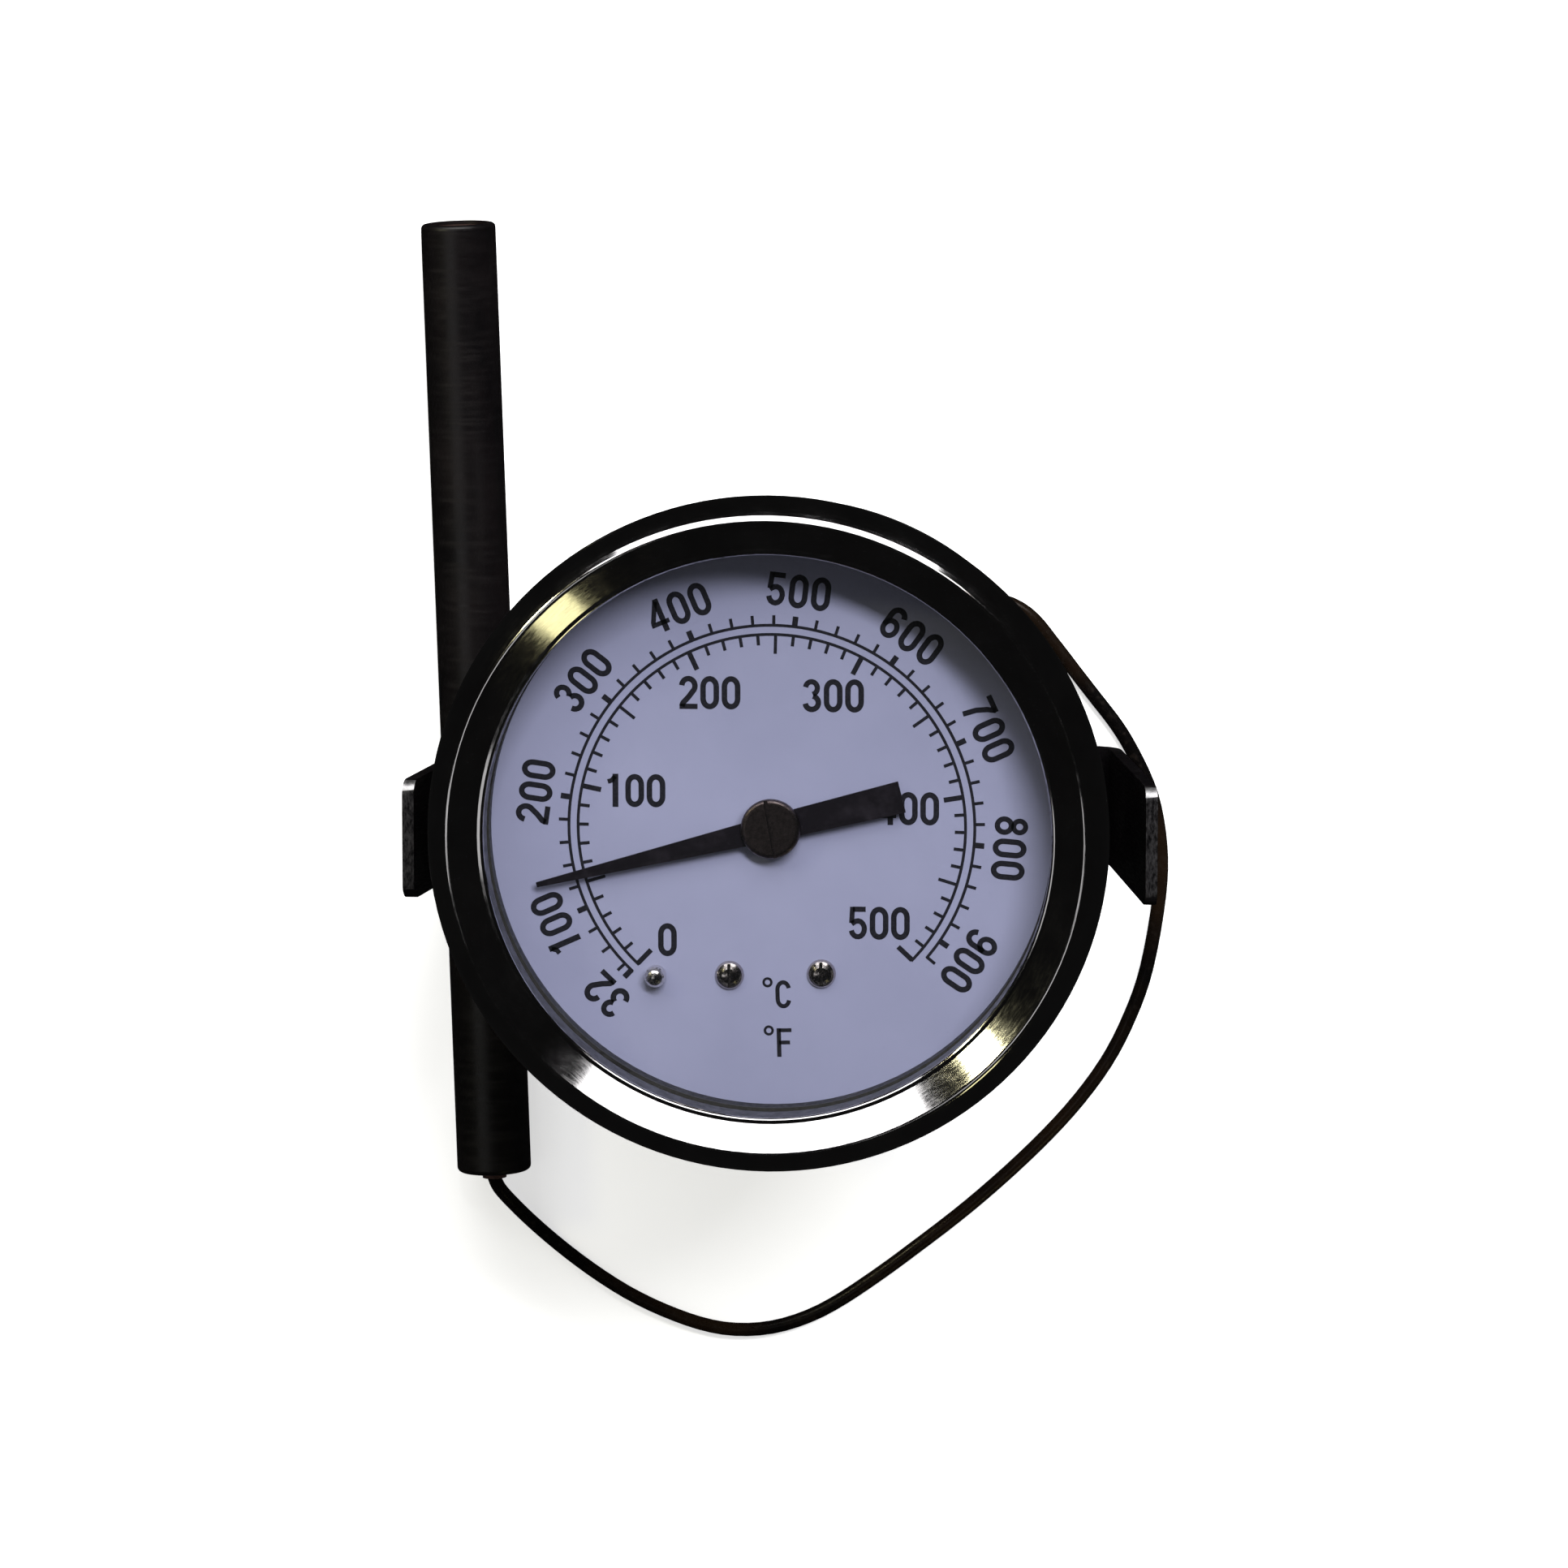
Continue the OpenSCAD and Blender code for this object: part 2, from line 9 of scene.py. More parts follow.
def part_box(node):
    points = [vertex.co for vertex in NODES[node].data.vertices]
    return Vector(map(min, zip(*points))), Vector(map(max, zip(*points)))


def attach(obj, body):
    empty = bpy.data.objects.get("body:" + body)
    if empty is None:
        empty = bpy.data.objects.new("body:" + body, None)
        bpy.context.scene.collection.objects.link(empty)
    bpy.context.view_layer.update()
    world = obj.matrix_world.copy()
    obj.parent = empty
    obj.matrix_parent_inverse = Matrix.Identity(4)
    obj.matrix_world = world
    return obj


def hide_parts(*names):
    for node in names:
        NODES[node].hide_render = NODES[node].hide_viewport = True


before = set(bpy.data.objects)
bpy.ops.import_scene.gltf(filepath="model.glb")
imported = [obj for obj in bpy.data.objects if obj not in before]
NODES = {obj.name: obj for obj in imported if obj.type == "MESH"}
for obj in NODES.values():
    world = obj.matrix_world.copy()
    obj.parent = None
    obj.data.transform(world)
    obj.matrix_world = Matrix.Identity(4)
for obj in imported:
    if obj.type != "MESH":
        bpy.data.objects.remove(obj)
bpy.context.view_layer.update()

MM = 0.001
DIAL_TURN = math.radians(1.5)
DIAL_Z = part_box("dial_plate")[1].z / MM
FLOOR_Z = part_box("clamp_studs")[0].z / MM


# ---- camera ----

CAMERA_SIDE = (0.0664, 0.1495, 1.0)
CAMERA_DISTANCE = 0.912
CAMERA_AIM = (1.8, 5.65)
AIM_BELOW_BEZEL = 1.4


def add_camera():
    """Camera in front of the dial, a little to the right and above its axis, with 12 o'clock upwards."""
    back = Vector(CAMERA_SIDE).normalized()
    up = (Vector((0, 1, 0)) - back.y * back).normalized()
    turn = Matrix((up.cross(back), up, back)).transposed()
    bezel_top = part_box("bezel_ring")[1]
    aim = Vector((CAMERA_AIM[0] * MM, CAMERA_AIM[1] * MM, bezel_top.z - AIM_BELOW_BEZEL * MM))
    data = bpy.data.cameras.new("camera")
    data.lens = 205.2
    data.sensor_width = 36
    data.clip_start = 0.01
    data.clip_end = 50
    camera = bpy.data.objects.new("camera", data)
    camera.matrix_world = Matrix.Translation(aim + back * CAMERA_DISTANCE) @ turn.to_4x4()
    bpy.context.scene.collection.objects.link(camera)
    bpy.context.scene.camera = camera


# ---- capillary ----

CAPILLARY_R = 0.75
REST_Z = -50.2
COIL_AT = (0.4, -16)
COIL_IN = 6.2
COIL_PITCH = 1.55
COIL_TURNS = 3
COIL_LAYERS = 5
COIL_STEPS = 24
COIL_CLIMB = 6
LEAD_ROUTE = [
    (0.4, -16, -39), (0.4, -16, -41.5), (0, -16.2, -43.8), (-0.9, -17.2, -46),
    (-0.8, -19.2, -48.2), (1.2, -20.9, -49.6), (4, -20.4, -50.2), (6, -18.2, -50.2), (6.6, -16, -50.2),
]
RUN_ROUTE = [
    (11.2, -16, -44), (11.5, -11, -45), (11.7, -5, -47.2), (11.9, 1, -49.2), (12.5, 6.5, -50.2),
    (14, 12, -50.2), (17, 16.5, -50.2), (21, 18, -50.2), (24.5, 16.6, -50.2), (27, 13.8, -50.2),
    (29.7, 10.3, -50.2), (32.2, 7.1, -50.2), (34.2, 4.5, -50.2), (36, 1.5, -50.2), (38, -3, -50.2),
    (39, -8.5, -50.2), (38.9, -14, -50.2), (37.6, -21.8, -50.2), (35.8, -27.2, -50.2),
    (33.2, -32.4, -50.2), (29.3, -37.7, -50.2), (24.3, -43, -50.2), (18.5, -48.3, -50.2),
    (12.9, -52.8, -50.2), (7.6, -56.8, -50.2), (2.3, -60.2, -50.2), (-3, -62.1, -50.2),
    (-8.3, -62.3, -50.2), (-13.5, -60.9, -50.2), (-18.9, -58.4, -50.2), (-24, -55, -50.1),
    (-28.2, -51.4, -49.4), (-31, -48.4, -48.2), (-32.5, -46.4, -47.2), (-33, -45.2, -47),
]


def smooth(points):
    """Adds a point halfway along the curve between each pair, and does so again."""
    for _ in range(2):
        p = [points[0], *points, points[-1]]
        halves = [(9 * (p[i + 1] + p[i + 2]) - p[i] - p[i + 3]) / 16 for i in range(len(points) - 1)]
        points = [q for pair in zip(points, halves) for q in pair] + [points[-1]]
    return points


def coil_point(turn):
    """Point of the wound coil after that many turns: out, up a layer, in, up a layer, out.

    A layer is climbed within 1 / COIL_CLIMB of a turn.
    """
    layer = min(int(turn / COIL_TURNS), COIL_LAYERS - 1)
    along = turn - layer * COIL_TURNS
    reach = along if layer % 2 == 0 else COIL_TURNS - along
    climb = min(1, along * COIL_CLIMB) if layer else 0
    height = max(layer - 1, 0) + climb * climb * (3 - 2 * climb)
    r = COIL_IN + COIL_PITCH * reach
    a = 2 * math.pi * turn
    return Vector((COIL_AT[0] + r * math.cos(a), COIL_AT[1] + r * math.sin(a), REST_Z + COIL_PITCH * height))


def capillary_points():
    """Middle line of the capillary: lead from the strain relief, coil, and run to the bulb's neck."""
    steps = COIL_STEPS * COIL_TURNS * COIL_LAYERS
    coil = [coil_point(i / COIL_STEPS) for i in range(1, steps)]
    lead = smooth([Vector(p) for p in LEAD_ROUTE])
    run = smooth([Vector(p) for p in RUN_ROUTE])
    return lead + coil + run


def add_capillary():
    points = capillary_points()
    data = bpy.data.curves.new("capillary", "CURVE")
    data.dimensions = "3D"
    data.bevel_depth = CAPILLARY_R * MM
    data.bevel_resolution = 4
    data.use_fill_caps = True
    spline = data.splines.new("POLY")
    spline.points.add(len(points) - 1)
    for target, p in zip(spline.points, points):
        target.co = (*(p * MM), 1)
    spline.use_smooth = True
    cord = bpy.data.objects.new("capillary", data)
    bpy.context.scene.collection.objects.link(cord)
    data.materials.append(capillary_metal())
    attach(cord, "case")
    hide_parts("capillary_lead", "capillary_coil", "capillary_run")


# ---- materials ----

class Look:
    """A Principled material and short names for the nodes that vary it. Texture scales are per metre."""

    def __init__(self, name, colour, roughness, metallic=0.0, **sockets):
        self.material = bpy.data.materials.new(name)
        self.material.use_nodes = True
        self.tree = self.material.node_tree
        self.shader = self.tree.nodes["Principled BSDF"]
        self.shader.inputs["Base Color"].default_value = (*colour, 1)
        self.shader.inputs["Roughness"].default_value = roughness
        self.shader.inputs["Metallic"].default_value = metallic
        for socket, value in sockets.items():
            self.shader.inputs[socket.replace("_", " ")].default_value = value

    def node(self, kind, inputs=(), **settings):
        made = self.tree.nodes.new("ShaderNode" + kind)
        for key, value in settings.items():
            setattr(made, key, value)
        for socket, value in dict(inputs).items():
            if isinstance(value, bpy.types.NodeSocket):
                self.tree.links.new(value, made.inputs[socket])
            else:
                made.inputs[socket].default_value = value
        return made

    def place(self, centre=(0, 0, 0), stretch=(1, 1, 1)):
        """Object coordinates from a centre in millimetres, stretched along each axis."""
        where = self.node("TexCoord").outputs["Object"]
        moved = self.node("VectorMath", {0: where, 1: [v * MM for v in centre]}, operation="SUBTRACT")
        return self.node("VectorMath", {0: moved.outputs[0], 1: stretch}, operation="MULTIPLY").outputs[0]

    def round_place(self, centre, along):
        """Coordinates (radius, angle times along, height) for marks that run round an upright axis."""
        xyz = self.node("SeparateXYZ", {0: self.place((*centre, 0))})
        x, y, z = (xyz.outputs[i] for i in range(3))
        flat = self.node("CombineXYZ", {0: x, 1: y})
        radius = self.node("VectorMath", {0: flat.outputs[0]}, operation="LENGTH").outputs["Value"]
        angle = self.node("Math", {0: y, 1: x}, operation="ARCTAN2").outputs[0]
        slow = self.node("Math", {0: angle, 1: along}, operation="MULTIPLY").outputs[0]
        return self.node("CombineXYZ", {0: radius, 1: slow, 2: z}).outputs[0]

    def noise(self, where, scale, detail=3.0, rough=0.55):
        return self.node("TexNoise", {"Vector": where, "Scale": scale, "Detail": detail,
                                      "Roughness": rough}).outputs["Fac"]

    def spread(self, value, low, high, start=0.3, end=0.7):
        """Turns noise between start and end into a number between low and high."""
        return self.node("MapRange", {"Value": value, "From Min": start, "From Max": end,
                                      "To Min": low, "To Max": high}).outputs["Result"]

    def blend(self, amount, first, second):
        """Colour between first and second, each a colour or a socket."""
        mix = self.node("Mix", data_type="RGBA")
        self.tree.links.new(amount, mix.inputs["Factor"])
        for key, value in (("A", first), ("B", second)):
            socket = [s for s in mix.inputs if s.name == key and s.type == "RGBA"][0]
            if isinstance(value, bpy.types.NodeSocket):
                self.tree.links.new(value, socket)
            else:
                socket.default_value = (*value, 1)
        return [s for s in mix.outputs if s.type == "RGBA"][0]

    def drive(self, socket, value):
        self.tree.links.new(value, self.shader.inputs[socket])

    def bump(self, height, depth, strength=1.0):
        """Bump whose full height is depth millimetres. Bumps stack."""
        inputs = {"Height": height, "Distance": depth * MM, "Strength": strength}
        below = self.shader.inputs["Normal"]
        if below.is_linked:
            inputs["Normal"] = below.links[0].from_socket
        self.drive("Normal", self.node("Bump", inputs).outputs["Normal"])


def chrome_plate():
    """Polished plate with faint turning marks and a few smears."""
    look = Look("chrome_plate", (0.60, 0.585, 0.59), 0.14, 1.0)
    marks = look.noise(look.round_place((0, 0), 0.005), 5200, 4)
    smears = look.noise(look.place(), 160, 5, 0.65)
    grain = look.node("Math", {0: marks, 1: smears}, operation="MULTIPLY").outputs[0]
    look.drive("Roughness", look.spread(grain, 0.05, 0.15, 0.12, 0.42))
    tone = look.blend(look.spread(smears, 0, 1), (0.50, 0.485, 0.49), (0.68, 0.665, 0.67))
    look.drive("Base Color", tone)
    look.bump(marks, 0.002)
    return look.material


def black_enamel():
    """Gloss enamel with orange peel and rubbed places."""
    look = Look("black_enamel", (0.020, 0.019, 0.019), 0.32)
    peel = look.noise(look.place(), 900, 2)
    wear = look.noise(look.place(), 70, 6, 0.7)
    skin = look.blend(look.spread(wear, 0, 1, 0.45, 0.75), (0.016, 0.015, 0.015), (0.034, 0.032, 0.031))
    look.drive("Base Color", skin)
    look.drive("Roughness", look.spread(wear, 0.26, 0.46))
    look.bump(peel, 0.02)
    return look.material


def window_glass():
    """Clear pane with faint wiping smears."""
    look = Look("window_glass", (0.02, 0.022, 0.024), 0.04, Alpha=0.05, IOR=1.5)
    smear = look.noise(look.place(stretch=(1, 0.4, 1)), 60, 4)
    look.drive("Roughness", look.spread(smear, 0.02, 0.09))
    look.material.surface_render_method = "BLENDED"
    return look.material


def rubber(name):
    """Black rubber with a fine grain."""
    look = Look(name, (0.02, 0.02, 0.02), 0.6)
    grain = look.noise(look.place(), 2500, 3)
    look.drive("Base Color", look.blend(grain, (0.012, 0.012, 0.012), (0.035, 0.034, 0.033)))
    look.bump(grain, 0.02)
    return look.material


def matt_black(name, colour=(0.005, 0.004, 0.006), roughness=0.5):
    """Thin black paint with a dusty grain."""
    look = Look(name, colour, roughness, Specular_IOR_Level=0.12)
    grain = look.noise(look.place(), 1800, 4, 0.7)
    dust = look.noise(look.place(), 320, 5, 0.7)
    pale = tuple(v * 2.4 + 0.004 for v in colour)
    look.drive("Base Color", look.blend(look.spread(dust, 0, 1, 0.5, 0.8), colour, pale))
    look.drive("Roughness", look.spread(grain, roughness - 0.1, roughness + 0.12))
    look.bump(grain, 0.01)
    return look.material


def dial_lacquer():
    """Lavender-grey sheet: lacquer mottle and a few specks."""
    look = Look("dial_lacquer", (0.24, 0.25, 0.375), 0.45)
    cloud = look.noise(look.place(), 45, 5, 0.6)
    tone = look.blend(look.spread(cloud, 0, 1), (0.226, 0.236, 0.356), (0.256, 0.266, 0.398))
    specks = look.noise(look.place(), 4200, 2)
    tone = look.blend(look.spread(specks, 0, 0.5, 0.68, 0.78), tone, (0.15, 0.15, 0.23))
    look.drive("Base Color", tone)
    look.drive("Roughness", look.spread(cloud, 0.38, 0.52))
    look.bump(look.noise(look.place(), 2600, 3), 0.006)
    return look.material


def print_ink():
    """Black printing ink with slightly uneven cover."""
    look = Look("print_ink", (0.012, 0.012, 0.016), 0.5, Specular_IOR_Level=0.1)
    grain = look.noise(look.place(), 6000, 3)
    cover = look.blend(look.spread(grain, 0, 1), (0.006, 0.006, 0.009), (0.016, 0.016, 0.022))
    look.drive("Base Color", cover)
    look.bump(grain, 0.004)
    return look.material


def turned_metal(name, centre, colour, dark, roughness=0.3, scale=700, depth=0.006):
    """Turned metal with marks round the axis at centre, and tarnish."""
    look = Look(name, colour, roughness, 1.0)
    marks = look.noise(look.round_place(centre, 0.008), 6500, 3)
    tarnish = look.noise(look.place(), scale, 5, 0.7)
    look.drive("Base Color", look.blend(look.spread(tarnish, 0, 1, 0.38, 0.66), colour, dark))
    look.drive("Roughness", look.spread(tarnish, roughness - 0.08, roughness + 0.18))
    look.bump(marks, depth)
    return look.material


def brushed_metal(name, colour, dark, roughness=0.3, stretch=(0.12, 1, 1), scale=2600, metallic=1.0):
    """Rolled or machined metal with marks along one axis and tarnish."""
    look = Look(name, colour, roughness, metallic)
    marks = look.noise(look.place(stretch=stretch), scale, 4)
    tarnish = look.noise(look.place(), 160, 5, 0.65)
    look.drive("Base Color", look.blend(look.spread(tarnish, 0, 1, 0.35, 0.7), colour, dark))
    look.drive("Roughness", look.spread(marks, roughness - 0.1, roughness + 0.15))
    look.bump(marks, 0.008)
    return look.material


def clamp_steel():
    """Black phosphated strip: rolled grain and scuffs."""
    look = Look("clamp_steel", (0.004, 0.0035, 0.004), 0.42, 0.1, Specular_IOR_Level=0.15)
    grain = look.noise(look.place(stretch=(0.5, 3, 0.35)), 1500, 5, 0.65)
    scuffs = look.noise(look.place(), 260, 6, 0.75)
    skin = look.blend(look.spread(scuffs, 0, 1, 0.5, 0.72), (0.0025, 0.002, 0.0025), (0.009, 0.008, 0.0085))
    look.drive("Base Color", skin)
    look.drive("Roughness", look.spread(grain, 0.28, 0.55))
    look.bump(grain, 0.02)
    look.bump(scuffs, 0.03, 0.5)
    return look.material


def clamp_cut():
    """Rough sheared end of the strip."""
    look = Look("clamp_cut", (0.06, 0.057, 0.06), 0.42, 0.7)
    tear = look.noise(look.place(stretch=(2.5, 0.8, 1)), 1700, 5, 0.7)
    skin = look.blend(look.spread(tear, 0, 1, 0.38, 0.66), (0.008, 0.0075, 0.0085), (0.09, 0.086, 0.09))
    look.drive("Base Color", skin)
    look.drive("Roughness", look.spread(tear, 0.3, 0.6))
    look.bump(tear, 0.08)
    return look.material


def clamp_edge():
    """Bright metal: wear where the skin has come off the broken edges, and a painted highlight where it is put on
    the chamfers that face the light.
    """
    look = Look("clamp_edge", (0.72, 0.71, 0.72), 0.45, 1.0)
    wear = look.noise(look.place(), 900, 4, 0.7)
    shine = look.blend(look.spread(wear, 0, 1, 0.3, 0.62), (0.35, 0.34, 0.35), (0.85, 0.84, 0.85))
    look.drive("Base Color", shine)
    look.drive("Roughness", look.spread(wear, 0.38, 0.55))
    look.bump(wear, 0.02)
    return look.material


def bulb_metal():
    """Heat-browned tube: fine rings round it, blotches, and a worn sheen."""
    look = Look("bulb_metal", (0.008, 0.006, 0.006), 0.32, 0.35, Specular_IOR_Level=0.9)
    rings = look.noise(look.place(stretch=(0.10, 1, 0.10)), 2200, 5, 0.6)
    blotch = look.noise(look.place(stretch=(1, 0.6, 1)), 120, 6, 0.7)
    brown = look.blend(look.spread(blotch, 0, 1, 0.36, 0.68), (0.0025, 0.002, 0.0026), (0.007, 0.005, 0.0055))
    tone = look.blend(look.spread(rings, 0, 0.5, 0.5, 0.7), brown, (0.011, 0.0085, 0.009))
    look.drive("Base Color", tone)
    look.drive("Roughness", look.spread(rings, 0.30, 0.48))
    look.bump(rings, 0.012)
    look.bump(blotch, 0.03, 0.4)
    return look.material


def bulb_end():
    """Red-brown scale on the bulb's plugs."""
    look = Look("bulb_end", (0.07, 0.035, 0.03), 0.45, 0.5)
    blotch = look.noise(look.place(), 900, 5, 0.7)
    scale = look.blend(look.spread(blotch, 0, 1), (0.045, 0.022, 0.022), (0.14, 0.075, 0.06))
    look.drive("Base Color", scale)
    look.bump(blotch, 0.05)
    return look.material


def capillary_metal():
    """Drawn tube, browned by heat, with slow changes of tint along its length."""
    look = Look("capillary_metal", (0.008, 0.006, 0.005), 0.26, 0.4, Specular_IOR_Level=0.4)
    tint = look.noise(look.place(), 55, 3)
    skin = look.noise(look.place(), 1400, 4, 0.65)
    brown = look.blend(look.spread(tint, 0, 1, 0.4, 0.62), (0.0035, 0.003, 0.003), (0.016, 0.009, 0.005))
    tone = look.blend(look.spread(skin, 0, 0.6, 0.55, 0.75), brown, (0.025, 0.018, 0.014))
    look.drive("Base Color", tone)
    look.drive("Roughness", look.spread(skin, 0.18, 0.42))
    look.bump(skin, 0.015)
    return look.material


def fibre():
    """Red vulcanised fibre of the stem's washer."""
    look = Look("fibre_washer", (0.16, 0.045, 0.03), 0.6)
    grain = look.noise(look.place(), 1600, 5, 0.7)
    look.drive("Base Color", look.blend(grain, (0.09, 0.025, 0.018), (0.22, 0.07, 0.045)))
    look.bump(grain, 0.03)
    return look.material


def dress(node, *materials):
    """Gives a carried-over CAD node its materials."""
    data = NODES[node].data
    data.materials.clear()
    for material in materials:
        data.materials.append(material)


# ---- mesh helpers ----

def add_mesh(name, bm, material, body, smooth_angle=None):
    """Mesh object of one material from a bmesh in millimetres, on a body and in a slot."""
    bmesh.ops.recalc_face_normals(bm, faces=bm.faces)
    bm.transform(Matrix.Scale(MM, 4))
    data = bpy.data.meshes.new(name)
    bm.to_mesh(data)
    bm.free()
    data.materials.append(material)
    piece = bpy.data.objects.new(name, data)
    bpy.context.scene.collection.objects.link(piece)
    if smooth_angle is not None:
        data.shade_smooth()
        data.set_sharp_from_angle(angle=math.radians(smooth_angle))
    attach(piece, body)
    return piece


def ribbon(bm, points, width, low, high, closed=False):
    """Flat strip of ink along a line of points (x, y), mitred at its corners."""
    count = len(points)
    pts = [Vector((p[0], p[1])) for p in points]
    rows = []
    for i in range(count):
        before = pts[i - 1] if i or closed else None
        after = pts[(i + 1) % count] if i < count - 1 or closed else None
        into = (pts[i] - before).normalized() if before is not None else (after - pts[i]).normalized()
        out = (after - pts[i]).normalized() if after is not None else into
        side = Vector((-(into + out).y, (into + out).x)).normalized()
        reach = width / 2 / max(0.5, side.dot(Vector((-into.y, into.x))))
        a, b = pts[i] + side * reach, pts[i] - side * reach
        rows.append([bm.verts.new((*p, z)) for z in (low, high) for p in (a, b)])
    for i in range(count if closed else count - 1):
        p, q = rows[i], rows[(i + 1) % count]
        for j, k in ((0, 1), (1, 3), (3, 2), (2, 0)):
            bm.faces.new((p[j], p[k], q[k], q[j]))
    if not closed:
        for end in (rows[0], rows[-1]):
            bm.faces.new((end[0], end[1], end[3], end[2]))


def lathe(bm, rows, steps, radius_at, centre):
    """Closed skin through rows (height, key); radius_at(key, angle, height) gives its radius."""
    rings = []
    for height, key in rows:
        ring = []
        for k in range(steps):
            a = 2 * math.pi * k / steps
            r = radius_at(key, a, height)
            ring.append(bm.verts.new((centre[0] + r * math.cos(a), centre[1] + r * math.sin(a), height)))
        rings.append(ring)
    for low, high in zip(rings, rings[1:]):
        for k in range(steps):
            m = (k + 1) % steps
            bm.faces.new((low[k], low[m], high[m], high[k]))
    return rings


# ---- dial print ----

STROKE = 0.165


def arc_points(centre, rx, ry, start, end, steps=14):
    """Points of an elliptic arc between two angles in degrees."""
    angles = [math.radians(start + (end - start) * i / steps) for i in range(steps + 1)]
    return [(centre[0] + rx * math.cos(a), centre[1] + ry * math.sin(a)) for a in angles]


def glyph(character):
    """Strokes of a condensed character one unit high: (points, closed, share of the usual width).

    Any sign that is not a numeral, C or F is drawn as the degree ring.
    """
    e = STROKE / 2
    w = 0.28 - e
    top, foot = 1 - e, e
    if character == "0":
        upper = arc_points((0, 0.68), w, 0.32 - e, 0, 180)
        lower = arc_points((0, 0.32), w, 0.32 - e, 180, 360)
        return [(upper + lower, True, 1)]
    if character == "1":
        return [([(0.06, 0), (0.06, 1)], False, 1.05),
                ([(-0.17, 0.765), (-0.05, 0.80), (0.05, 0.93)], False, 0.85)]
    if character == "2":
        bowl = arc_points((0, 0.70), w, 0.30 - e, 176, -32)
        return [(bowl + [(0.0, 0.36), (-0.16, 0.19), (-0.195, foot)], False, 1),
                ([(-0.265, foot), (0.275, foot)], False, 0.95)]
    if character == "3":
        upper = arc_points((-0.01, 0.725), w - 0.02, 0.275 - e, 172, -78)
        lower = arc_points((0, 0.285), w, 0.285 - e, 80, -172)
        return [(upper, False, 0.95), (lower, False, 1)]
    if character == "4":
        return [([(0.10, 0), (0.10, 1)], False, 1), ([(0.08, 0.93), (-0.215, 0.335)], False, 0.85),
                ([(-0.28, 0.28), (0.275, 0.28)], False, 0.85)]
    if character == "5":
        bowl = arc_points((0, 0.325), w, 0.325 - e, 128, -168)
        return [([(0.235, top), (-0.15, top)], False, 0.95), ([(-0.155, 0.99), (-0.185, 0.50)], False, 0.9),
                ([(-0.185, 0.47)] + bowl, False, 0.95)]
    if character == "6":
        ring = arc_points((0, 0.31), w, 0.31 - e, 0, 360, 28)[:-1]
        hook = arc_points((0, 0.70), w, 0.30 - e, 14, 180)
        return [(ring, True, 0.95), (hook + [(-w, 0.31)], False, 1)]
    if character == "7":
        return [([(-0.265, top), (0.27, top)], False, 0.95),
                ([(0.225, 0.93), (0.09, 0.70), (-0.02, 0.40), (-0.075, 0)], False, 0.95)]
    if character == "8":
        upper = arc_points((0, 0.74), w - 0.025, 0.26 - e, 0, 360, 24)[:-1]
        lower = arc_points((0, 0.29), w, 0.29 - e, 0, 360, 28)[:-1]
        return [(upper, True, 0.9), (lower, True, 0.95)]
    if character == "9":
        return [([(-x, 1 - y) for x, y in line], closed, share) for line, closed, share in glyph("6")]
    if character == "C":
        upper = arc_points((0, 0.66), w, 0.34 - e, 12, 180)
        lower = arc_points((0, 0.34), w, 0.34 - e, 180, 348)
        return [(upper + lower, False, 0.87)]
    if character == "F":
        return [([(-0.19, 0), (-0.19, 1)], False, 0.9), ([(-0.19, top + 0.01), (0.25, top + 0.01)], False, 0.8),
                ([(-0.19, 0.50), (0.19, 0.50)], False, 0.8)]
    return [(arc_points((0, 0.80), 0.13, 0.13, 0, 360, 20)[:-1], True, 0.5)]


def write(bm, text, centre, turn, height, advance, low, high):
    """Sets text with its middle at centre; turn is the direction of its baseline in radians."""
    for i, character in enumerate(text):
        shift = (i - (len(text) - 1) / 2) * advance
        for line, closed, share in glyph(character):
            points = []
            for x, y in line:
                u, v = (x * height + shift), (y - 0.5) * height
                points.append((centre[0] + u * math.cos(turn) - v * math.sin(turn),
                               centre[1] + u * math.sin(turn) + v * math.cos(turn)))
            ribbon(bm, points, STROKE * height * share, low, high, closed)


ZERO_AT = math.radians(224.6)
BOIL_AT = math.radians(166.6)
FULL_AT = math.radians(-44.9)
INK_HALF = 0.02
TICK_RAISE = 0.004
SCALE_WIDTH = 0.30
FAHRENHEIT_R = 20.95
FAHRENHEIT_TICKS = (20.9, 22.0)
FAHRENHEIT_WIDTHS = (0.58, 0.32)
FAHRENHEIT_TEXT_R = 24.62
CELSIUS_R = 20.0
CELSIUS_TICK_ENDS = (18.0, 18.9)
CELSIUS_WIDTHS = (0.52, 0.33)
CELSIUS_TEXT_R = {0: 16.05, 100: 14.6, 200: 15.3, 300: 15.1, 400: 14.25, 500: 14.9}
CELSIUS_TEXT_LEAN = {0: 1.7, 100: -2.6, 200: -0.6, 300: 2.8, 400: -1.2, 500: 1.6}


def dial_angle(celsius):
    """Direction of a temperature on the dial; the scale is a little wider below 100 degrees C."""
    if celsius < 100:
        return ZERO_AT + (BOIL_AT - ZERO_AT) * celsius / 100
    return BOIL_AT + (FULL_AT - BOIL_AT) * (celsius - 100) / 400


def from_fahrenheit(f):
    return dial_angle((f - 32) / 1.8)


def on_dial(r, a):
    return (r * math.cos(a), r * math.sin(a))


def scale_line(bm, r, first, last, low, high):
    steps = 180
    points = [on_dial(r, first + (last - first) * i / steps) for i in range(steps + 1)]
    ribbon(bm, points, SCALE_WIDTH, low, high)


def tick(bm, a, start, end, width, low, high):
    ribbon(bm, [on_dial(start, a), on_dial(end, a)], width, low, high + TICK_RAISE)


